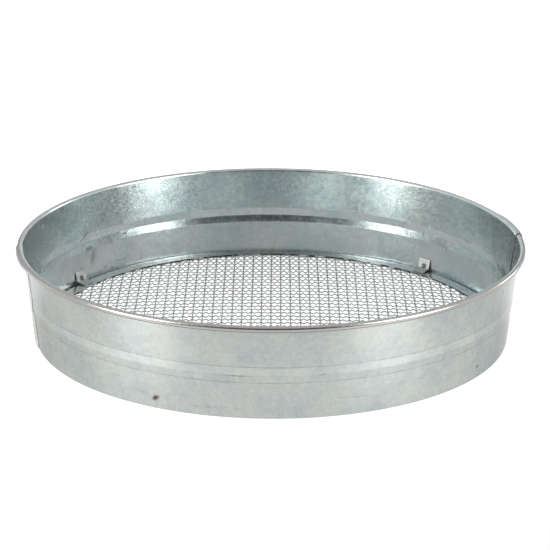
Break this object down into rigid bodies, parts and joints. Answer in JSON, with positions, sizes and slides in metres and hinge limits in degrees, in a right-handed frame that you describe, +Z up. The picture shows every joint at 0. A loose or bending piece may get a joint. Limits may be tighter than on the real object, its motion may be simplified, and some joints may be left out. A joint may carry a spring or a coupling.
{
  "type": "soil sieve",
  "caption": "Round garden soil sieve: a lapped galvanised sheet drum with a rolled rim and a domed woven wire mesh held by a retaining ring and clips.",
  "frame": {"origin": "centre of the bottom edge, on the drum's axis", "axes": "+Z up along the drum's axis; +X through the lap on the right, -Y towards the front half"},
  "size_m": [0.3568, 0.356, 0.0683],
  "materials": {
    "galvanised_sheet": "hot-dip galvanised sheet, fine spangle, lightly scratched",
    "galvanised_ring": "galvanised strip, rolled",
    "clip_steel": "galvanised strip with a burnt spot-weld mark",
    "mesh_wire": "galvanised crimped wire"
  },
  "bodies": {
    "root": {"wall_front_half": "galvanised_sheet", "wall_rear_half": "galvanised_sheet", "retaining_ring": "galvanised_ring", "clip_front_left": "clip_steel", "clip_front_right": "clip_steel", "clip_rear_left": "clip_steel", "clip_rear_right": "clip_steel", "warp_wires": "mesh_wire", "weft_wires": "mesh_wire"}
  },
  "joints": []
}
